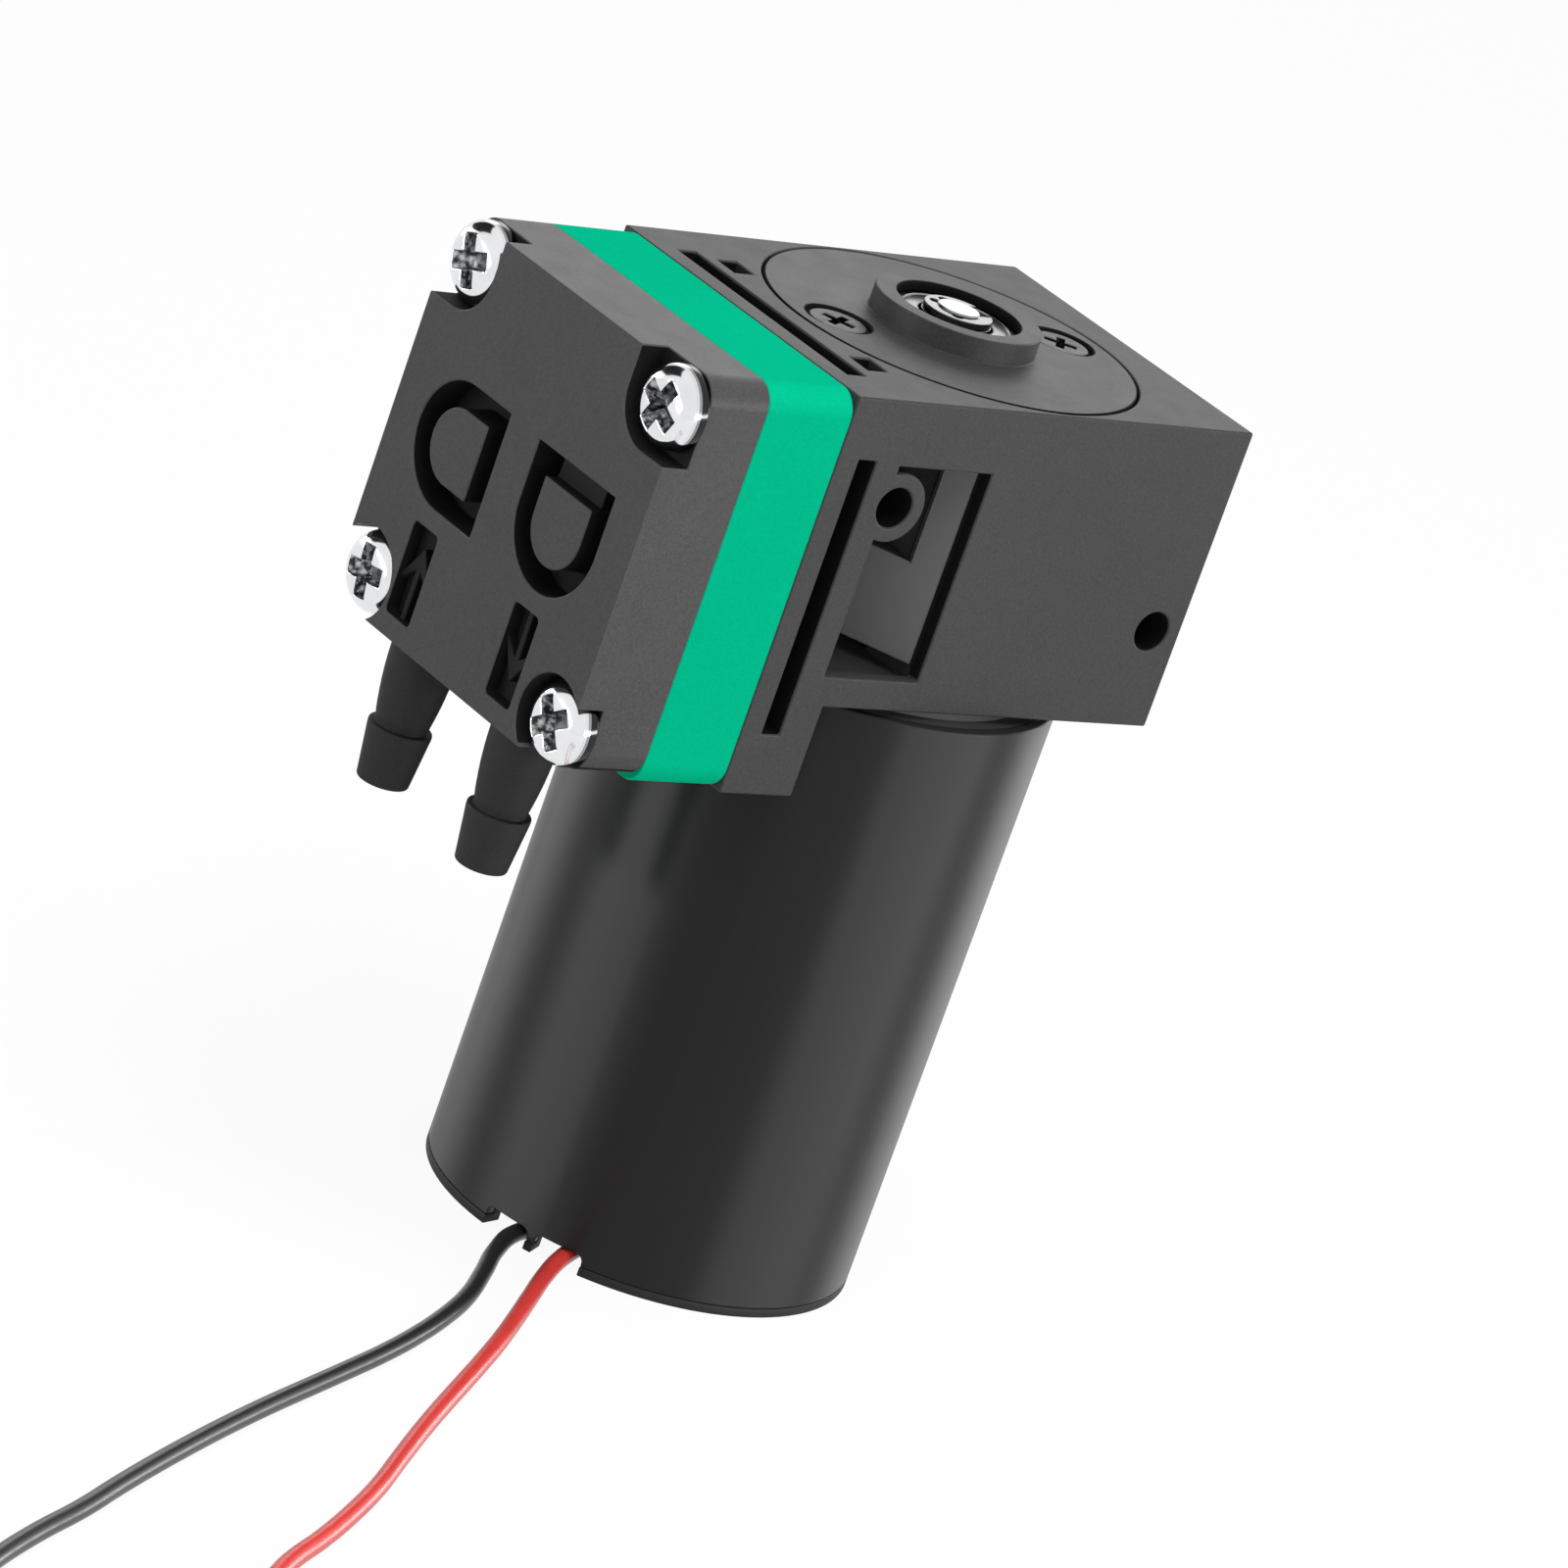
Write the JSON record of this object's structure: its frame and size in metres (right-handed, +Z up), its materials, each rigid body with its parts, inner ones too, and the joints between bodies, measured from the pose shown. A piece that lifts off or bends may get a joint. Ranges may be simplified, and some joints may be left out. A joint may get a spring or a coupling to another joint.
{
  "type": "diaphragm micro pump",
  "caption": "Small diaphragm air pump: a valve head with hose barbs and a moulded crank housing on a round brushed DC motor with free leads.",
  "frame": {"origin": "centre of the motor's end face, on the surface that the pump stands on", "axes": "+Z up along the motor shaft, -Y towards the valve head, +X towards the side whose window the picture shows"},
  "size_m": [0.0766, 0.1021, 0.0625],
  "materials": {
    "housing_black": "moulded, satin",
    "head_black": "moulded, fine satin grain",
    "plate_green": "moulded, satin",
    "cover_black": "moulded, satin",
    "screw_chrome": "plated",
    "screw_black": "black oxide",
    "valve_rubber": "smooth",
    "diaphragm_rubber": "smooth",
    "plain_steel": "zinc plated",
    "rod_plastic": "moulded, natural acetal",
    "bearing_steel": "ground",
    "brass": "machined",
    "case_black": "satin black coat",
    "flange_zinc": "die cast",
    "bushing_bronze": "sintered",
    "cap_black": "moulded",
    "ferrite": "matt",
    "core_steel": "stamped",
    "copper": "bare copper and varnished wire",
    "carbon": "pressed carbon",
    "lead_black": "smooth soft insulation",
    "lead_red": "smooth soft insulation",
    "tinned_wire": "tinned"
  },
  "bodies": {
    "pump_body": {"housing": "housing_black", "head_cover": "head_black", "middle_plate": "plate_green", "cover_plate": "cover_black", "head_screws": "screw_chrome", "cover_screws": "screw_black", "valve_sheet": "valve_rubber", "diaphragm": "diaphragm_rubber", "top_bearing_outer": "bearing_steel", "motor_case": "case_black", "motor_flange": "flange_zinc", "motor_screws": "plain_steel", "front_bushing": "bushing_bronze", "rear_bushing": "bushing_bronze", "end_cap": "cap_black", "magnets": "ferrite", "brushes": "carbon", "brush_arms": "brass", "black_lead": "lead_black", "red_lead": "lead_red", "black_coil": "lead_black", "red_coil": "lead_red", "lead_tips": "tinned_wire"},
    "rotor": {"shaft": "bearing_steel", "shaft_clip": "bearing_steel", "eccentric": "brass", "eccentric_spacer": "brass", "rod_bearing_inner": "bearing_steel", "top_bearing_inner": "bearing_steel", "armature_core": "core_steel", "armature_coils": "copper", "commutator": "copper"},
    "rod": {"connecting_rod": "rod_plastic", "rod_bearing_outer": "bearing_steel", "diaphragm_washer": "plain_steel", "diaphragm_screw": "plain_steel"},
    "rod_balls": {"rod_bearing_balls": "bearing_steel"},
    "top_balls": {"top_bearing_balls": "bearing_steel"},
    "inlet_valve": {"inlet_flap": "valve_rubber"},
    "outlet_valve": {"outlet_flap": "valve_rubber"}
  },
  "joints": [
    {"name": "rotor_spin", "type": "hinge", "parent": "pump_body", "child": "rotor", "pos_m": [0, 0, 0.05], "axis": [0, 0, 1], "continuous": true},
    {"name": "rod_pivot", "type": "hinge", "parent": "rotor", "child": "rod", "pos_m": [0, 0.001, 0.048], "axis": [0, 0, 1], "continuous": true, "deforming": ["diaphragm"]},
    {"name": "rod_ball_cage", "type": "hinge", "parent": "rotor", "child": "rod_balls", "pos_m": [0, 0.001, 0.048], "axis": [0, 0, 1], "continuous": true},
    {"name": "top_ball_cage", "type": "hinge", "parent": "pump_body", "child": "top_balls", "pos_m": [0, 0, 0.06025], "axis": [0, 0, 1], "continuous": true},
    {"name": "inlet_flap_hinge", "type": "hinge", "parent": "pump_body", "child": "inlet_valve", "pos_m": [-0.00555, -0.02285, 0.05085], "axis": [1, 0, 0], "range_deg": [0, 12], "stiffness_Nm_per_rad": 0.00002},
    {"name": "outlet_flap_hinge", "type": "hinge", "parent": "pump_body", "child": "outlet_valve", "pos_m": [0.00555, -0.02285, 0.05085], "axis": [-1, 0, 0], "range_deg": [0, 12], "stiffness_Nm_per_rad": 0.00002}
  ],
  "couplings": [
    {"joint": "rod_pivot", "follows": "rotor_spin", "ratio": -1},
    {"joint": "rod_ball_cage", "follows": "rotor_spin", "ratio": -0.55},
    {"joint": "top_ball_cage", "follows": "rotor_spin", "ratio": 0.4}
  ]
}
